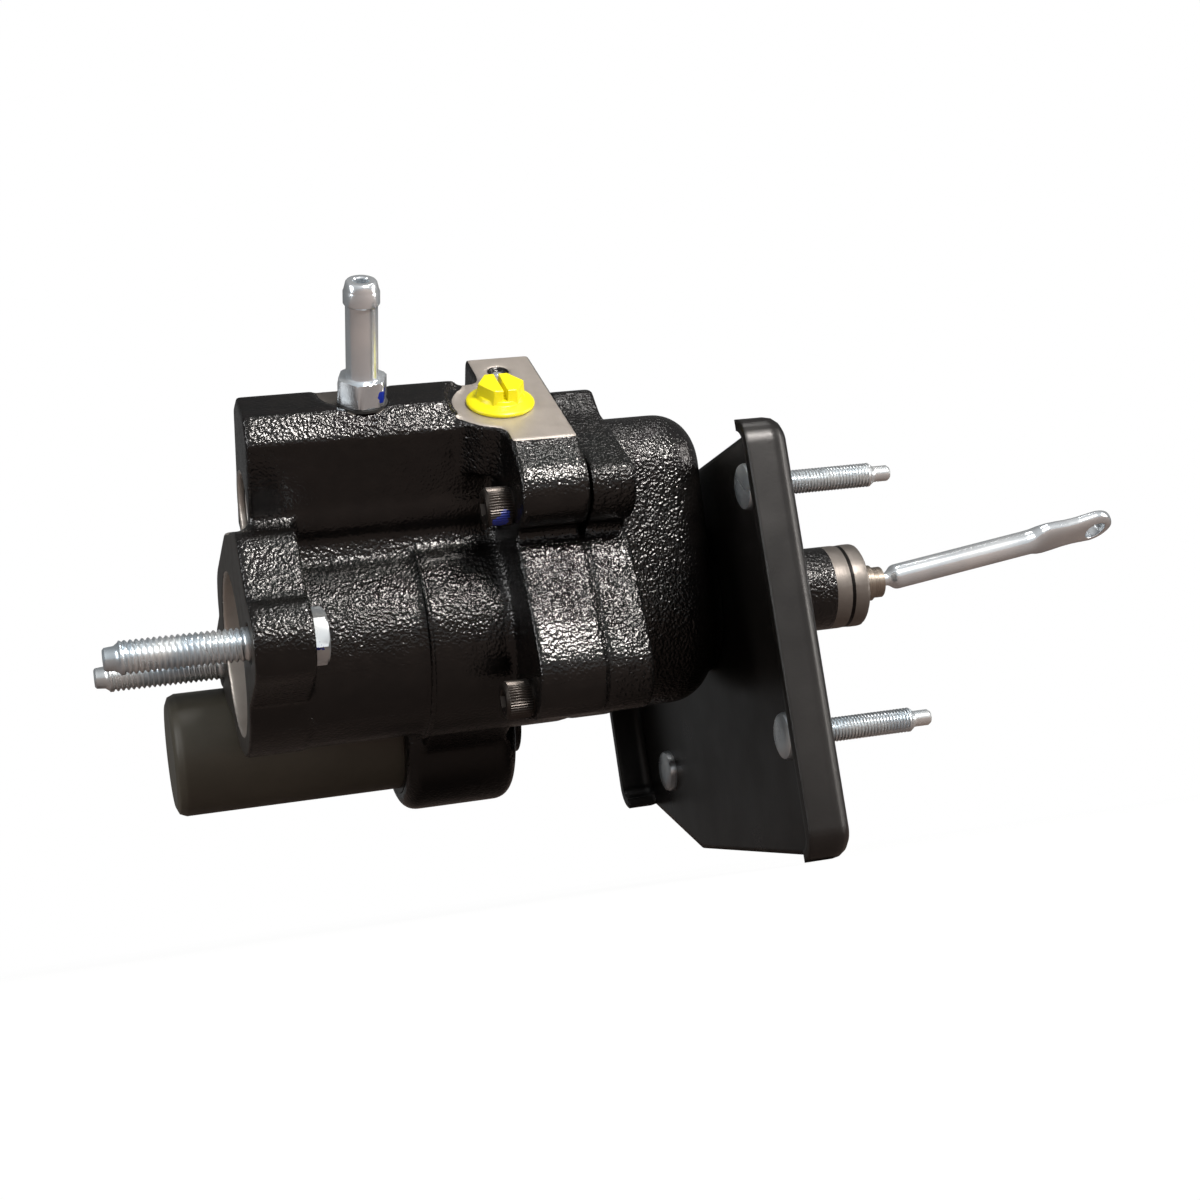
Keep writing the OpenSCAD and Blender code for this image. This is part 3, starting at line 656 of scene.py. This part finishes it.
def half_grip(side):
    """One half of the hexagonal grip, beside its slot."""
    verts = []
    for r, z in ((GRIP_R + 0.1, FLANGE_H - 1.2), (GRIP_R - 0.5, FLANGE_H + GRIP_H)):
        half = r * math.cos(math.pi / 6)
        for x, y in ((SLOT, -half), (r / 2, -half), (r, 0), (r / 2, half), (SLOT, half)):
            verts.append((side * x * MM, y * MM, z * MM))
    faces = skin(2, 5)
    if side < 0:
        faces = [tuple(reversed(face)) for face in faces]
    piece = new_piece("grip", verts, faces)
    port_turn = Matrix((Vector((1, 0, 0)), PORT_SIDE, PORT_UP)).transposed().to_4x4()
    piece.data.transform(Matrix.Translation(plug_at * MM) @ port_turn)
    return piece


cap = [(-8, 5.0), (-8, 6.3), (-7, 6.8), (0.02, 6.9), (0.02, 9.6), (0.3, 9.95), (1.0, 10), (1.4, 9.6),
       (1.7, 8.9), (FLANGE_H - 0.8, 7.8), (FLANGE_H - 0.6, 7.2), (FLANGE_H + 0.6, 6.6),
       (FLANGE_H + 0.6, 0.5)]
plug = joined("port_plug_look", [lathe("cap", cap, 64, plug_at, PORT_UP), half_grip(-1), half_grip(1)])
bevel = plug.modifiers.new("soft_edges", "BEVEL")
bevel.width = PLUG_EDGE
bevel.segments = 3
bevel.limit_method = "ANGLE"
stand_for(plug, "port_plug")

# Pedal rod: ball, neck, shaft and a forged eye
ROD_AT_X = NECK_END + 5.8
ROD_RISE = math.radians(7.5)
ROD_ROLL = math.radians(62)
ROD_LEN = 82.2
ROD_R = 4.0
ROD_NECK_R = 2.1
ROD_BALL_R = 3.4
EYE_R = 6.6
EYE_HALF = 2.5
EYE_BORE_R = 3.6
ROD_CELL = 0.3 * MM
ROD_WEAR = 5


def loft(name, sections, sides=48):
    """Mesh through oval sections across X: (x, half thickness, half width, squareness), in mm."""
    verts = []
    for x, thin, wide, square in sections:
        for k in range(sides):
            turn = 2 * math.pi * k / sides
            c, d = math.cos(turn), math.sin(turn)
            verts.append((x * MM, math.copysign(abs(c) ** square, c) * thin * MM,
                          math.copysign(abs(d) ** square, d) * wide * MM))
    return new_piece(name, verts, skin(len(sections), sides))


def drill(piece, hole):
    """Cuts the hole's mesh out of the piece and deletes it."""
    cut = piece.modifiers.new("eye", "BOOLEAN")
    cut.object = hole
    cut.operation = "DIFFERENCE"
    cut.solver = "EXACT"
    bpy.context.view_layer.update()
    drilled = piece.evaluated_get(bpy.context.evaluated_depsgraph_get())
    mesh = bpy.data.meshes.new_from_object(drilled)
    piece.modifiers.clear()
    piece.data = mesh
    bpy.data.objects.remove(hole)


sections = []
for k in range(1, 7):
    turn = math.pi * k / 8
    size = ROD_BALL_R * math.sin(turn)
    sections.append((-ROD_BALL_R * math.cos(turn), size, size, 1.0))
sections += [(3.0, ROD_NECK_R, ROD_NECK_R, 1.0), (5.2, ROD_NECK_R, ROD_NECK_R, 1.0),
             (6.2, 2.6, 2.6, 1.0), (7.6, 3.75, 3.75, 1.0), (8.5, ROD_R, ROD_R, 1.0),
             (56.0, ROD_R, ROD_R, 1.0), (58.5, 3.8, 4.4, 0.95), (61.0, 3.4, 5.8, 0.85),
             (63.5, 3.0, 6.5, 0.8), (67.0, 2.8, 6.3, 0.75), (71.0, 2.6, 5.8, 0.7),
             (75.0, EYE_HALF, 5.8, 0.7), (78.5, EYE_HALF, 6.2, 0.7), (ROD_LEN, EYE_HALF, EYE_R, 0.7)]
for k in range(1, 8):
    turn = math.pi / 2 * k / 8
    thin = EYE_HALF - 1.1 * (k / 8) ** 2
    sections.append((ROD_LEN + EYE_R * math.sin(turn), thin, EYE_R * math.cos(turn), 0.75))
rod = loft("pedal_rod_look", sections)
drill(rod, lathe("hole", [(-10, EYE_BORE_R), (10, EYE_BORE_R)], 48, (ROD_LEN, 0, 0), (0, 1, 0)))
rod.data.transform(Matrix.Translation(Vector((ROD_AT_X, 0, 0)) * MM) @ Matrix.Rotation(-ROD_RISE, 4, "Y")
                   @ Matrix.Rotation(ROD_ROLL, 4, "X"))
add_cells(rod, "cells", ROD_CELL)
add_wear(rod, ROD_WEAR)
stand_for(rod, "pedal_rod", "pedal_rod")


# Springs

def spring(node, wire_r, turns):
    """A round wire coil in the CAD spring's place."""
    low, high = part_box(node)
    reach = (high.y - low.y) / 2 / MM - wire_r
    start, end = low.x / MM + wire_r, high.x / MM - wire_r
    mid_y, mid_z = (low.y + high.y) / 2 / MM, (low.z + high.z) / 2 / MM
    steps, sides = turns * 32, 12
    verts = []
    for i in range(steps + 1):
        turn = 2 * math.pi * i / 32
        for j in range(sides):
            lean = 2 * math.pi * j / sides
            size = reach + wire_r * math.cos(lean)
            verts.append(((start + (end - start) * i / steps + wire_r * math.sin(lean)) * MM,
                          (mid_y + size * math.cos(turn)) * MM, (mid_z + size * math.sin(turn)) * MM))
    faces = [(face[0], *reversed(face[1:])) for face in skin(steps + 1, sides)]
    piece = new_piece(f"{node}_look", verts, faces)
    shade_smooth(piece)
    stand_for(piece, node)
    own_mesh(piece)


spring("return_spring", 1.4, 8)
spring("spool_spring", 0.6, 3)


# Paint that bridges the seam between the housing and the cover

SEAM_X = HOUSING_LEN + COVER_SEAL_T
SEAM_INSET = 0.35
SEAM_ROWS = ((-2.4, 2.2), (-1.5, 0.9), (-0.35, 0.7), (-0.2, 1.5), (-0.05, 0.7), (1.1, 0.9), (2.0, 2.2))


def largest_loop(mesh, x):
    """The longest boundary of the mesh's flat face at that X, as points in order."""
    flat = [f for f in mesh.polygons if all(abs(mesh.vertices[v].co.x - x) < 1e-6 for v in f.vertices)]
    count = {}
    for face in flat:
        for key in face.edge_keys:
            count[key] = count.get(key, 0) + 1
    follow = {}
    for face in flat:
        ring = list(face.vertices)
        for a, b in zip(ring, ring[1:] + ring[:1]):
            if count[(min(a, b), max(a, b))] == 1:
                follow[a] = b
    best, best_len = [], 0
    while follow:
        here, loop = next(iter(follow)), []
        while here in follow:
            loop.append(here)
            here = follow.pop(here)
        points = [mesh.vertices[v].co.copy() for v in loop]
        length = sum((points[k] - points[k - 1]).length for k in range(len(points)))
        if length > best_len:
            best, best_len = points, length
    return best


def paint_as_casting(piece):
    """The piece gets the castings' paint and stays with the casing."""
    piece.data.materials.append(looks["black_paint"])
    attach(piece, "casing")


loop = largest_loop(nodes["cover"].data, SEAM_X * MM)
area = sum(a.y * b.z - b.y * a.z for a, b in zip(loop, loop[1:] + loop[:1]))
inward = 1 if area > 0 else -1
verts, faces = [], []
for k, point in enumerate(loop):
    ahead_of = (loop[(k + 1) % len(loop)] - loop[k - 1]).normalized()
    inset = Vector((0, -ahead_of.z, ahead_of.y)) * (inward * SEAM_INSET * MM)
    for x, depth in SEAM_ROWS:
        verts.append(((SEAM_X + x) * MM, point.y + inset.y * depth, point.z + inset.z * depth))
rows = len(SEAM_ROWS)
for k in range(len(loop)):
    n = (k + 1) % len(loop)
    for row in range(rows - 1):
        faces.append((rows * k + row, rows * n + row, rows * n + row + 1, rows * k + row + 1))
seam = new_piece("seam_paint", verts, faces)
shade_smooth(seam)
paint_as_casting(seam)

# Ridge of paint at the step of the barrel
ridge = [(52.1, 28.5), (52.3, 30.5), (52.7, 31.25), (53.1, 31.55), (53.5, 31.45), (53.9, 31.2),
         (54.5, 30.9), (54.8, 29.0)]
paint_as_casting(lathe("step_ridge", ridge, 160, (0, 0, 0), smooth=80))


# Light, floor and camera

CENTRE = (0.07, 0.0, 0.0)
FLOOR_SIZE = 1.7
FLOOR_GAP = 0.0004
FLOOR_COLOUR = (0.17, 0.135, 0.12)
FLOOR_WHITE = 0.97
FLOOR_FADE = (0.3, 0.75)
FACING_LIGHT = (0.1, -0.95, 0.25)
WORLD_DIM = 0.13
WORLD_BRIGHT = 0.55


def stage_floor(name, colour):
    """White to the camera with a faint shadow near the middle, plain and dull to the light."""
    g = Graph(name)
    g.tree.nodes.remove(g.shader)
    out = next(n for n in g.tree.nodes if n.type == "OUTPUT_MATERIAL")
    seen = g.node("ShaderNodeLightPath").outputs["Is Camera Ray"]
    diffuse = g.node("ShaderNodeBsdfDiffuse")
    g.link(g.mix(seen, colour, (0.9, 0.9, 0.9)), diffuse.inputs["Color"])
    glow = g.node("ShaderNodeEmission")
    glow.inputs["Color"].default_value = (1, 1, 1, 1)
    both = g.node("ShaderNodeMixShader")
    away = g.node("ShaderNodeVectorMath", operation="LENGTH")
    g.link(g.where, away.inputs[0])
    white = g.span(away.outputs["Value"], *FLOOR_FADE, FLOOR_WHITE, 1.0)
    g.link(g.math("MULTIPLY", seen, white), both.inputs[0])
    g.link(diffuse.outputs[0], both.inputs[1])
    g.link(glow.outputs[0], both.inputs[2])
    g.link(both.outputs[0], out.inputs["Surface"])
    return g.mat


bpy.ops.mesh.primitive_plane_add(size=FLOOR_SIZE, location=(CENTRE[0], 0.0, cad_low.z - FLOOR_GAP))
floor = bpy.context.object
floor.name = "floor"
floor.data.materials.append(stage_floor("floor_pale", FLOOR_COLOUR))

# The world is white to the camera and lights the object mostly from the front
world = bpy.data.worlds.new("studio")
bpy.context.scene.world = world
world.use_nodes = True
tree = world.node_tree
back = tree.nodes["Background"]
back.inputs["Color"].default_value = (1, 1, 1, 1)
path = tree.nodes.new("ShaderNodeLightPath")
coords = tree.nodes.new("ShaderNodeTexCoord")
facing = tree.nodes.new("ShaderNodeVectorMath")
facing.operation = "DOT_PRODUCT"
facing.inputs[1].default_value = FACING_LIGHT
tree.links.new(coords.outputs["Generated"], facing.inputs[0])
glow = tree.nodes.new("ShaderNodeMapRange")
glow.inputs["To Min"].default_value = WORLD_DIM
glow.inputs["To Max"].default_value = WORLD_BRIGHT
tree.links.new(facing.outputs["Value"], glow.inputs["Value"])
level = tree.nodes.new("ShaderNodeMapRange")
level.inputs["To Max"].default_value = 1.0
tree.links.new(path.outputs["Is Camera Ray"], level.inputs["Value"])
tree.links.new(glow.outputs[0], level.inputs["To Min"])
tree.links.new(level.outputs[0], back.inputs["Strength"])


def look_at(thing, place, target):
    thing.location = place
    thing.rotation_euler = (Vector(target) - Vector(place)).to_track_quat("-Z", "Y").to_euler()


def lamp(name, place, size, power, colour=(1, 1, 1)):
    light = bpy.data.lights.new(name, "AREA")
    light.shape = "RECTANGLE"
    light.size, light.size_y = size
    light.energy = power
    light.color = colour
    made = bpy.data.objects.new(name, light)
    bpy.context.collection.objects.link(made)
    look_at(made, place, CENTRE)


lamp("key", (0.32, -0.78, 0.49), (0.24, 0.16), 11, (1, 0.945, 0.9))
lamp("above", (0.3, -0.22, 0.9), (0.4, 0.1), 1.6, (1, 0.97, 0.94))
lamp("left", (-0.85, -0.35, 0.3), (0.22, 0.6), 4)
lamp("right", (0.95, -0.3, 0.2), (0.25, 0.6), 4, (1, 0.95, 0.9))

# The camera is fitted to the photo
CAMERA_AT = Vector((-0.05979, -0.60393, -0.07836))
CAMERA_RIGHT = Vector((0.956202, -0.253671, -0.146046)).normalized()
CAMERA_AHEAD = Vector((0.272771, 0.953226, 0.130217)).normalized()
CAMERA_UP = CAMERA_RIGHT.cross(CAMERA_AHEAD)
CAMERA_LENS = 61.53
CAMERA_SENSOR = 36

camera_data = bpy.data.cameras.new("camera")
camera_data.sensor_width = CAMERA_SENSOR
camera_data.lens = CAMERA_LENS
camera_data.clip_start = 0.02
camera_data.clip_end = 40
camera = bpy.data.objects.new("camera", camera_data)
bpy.context.collection.objects.link(camera)
turned_by = Matrix((CAMERA_RIGHT, CAMERA_UP, -CAMERA_AHEAD)).transposed().to_4x4()
camera.matrix_world = Matrix.Translation(CAMERA_AT) @ turned_by
bpy.context.scene.camera = camera
bpy.context.scene.view_settings.view_transform = "Standard"
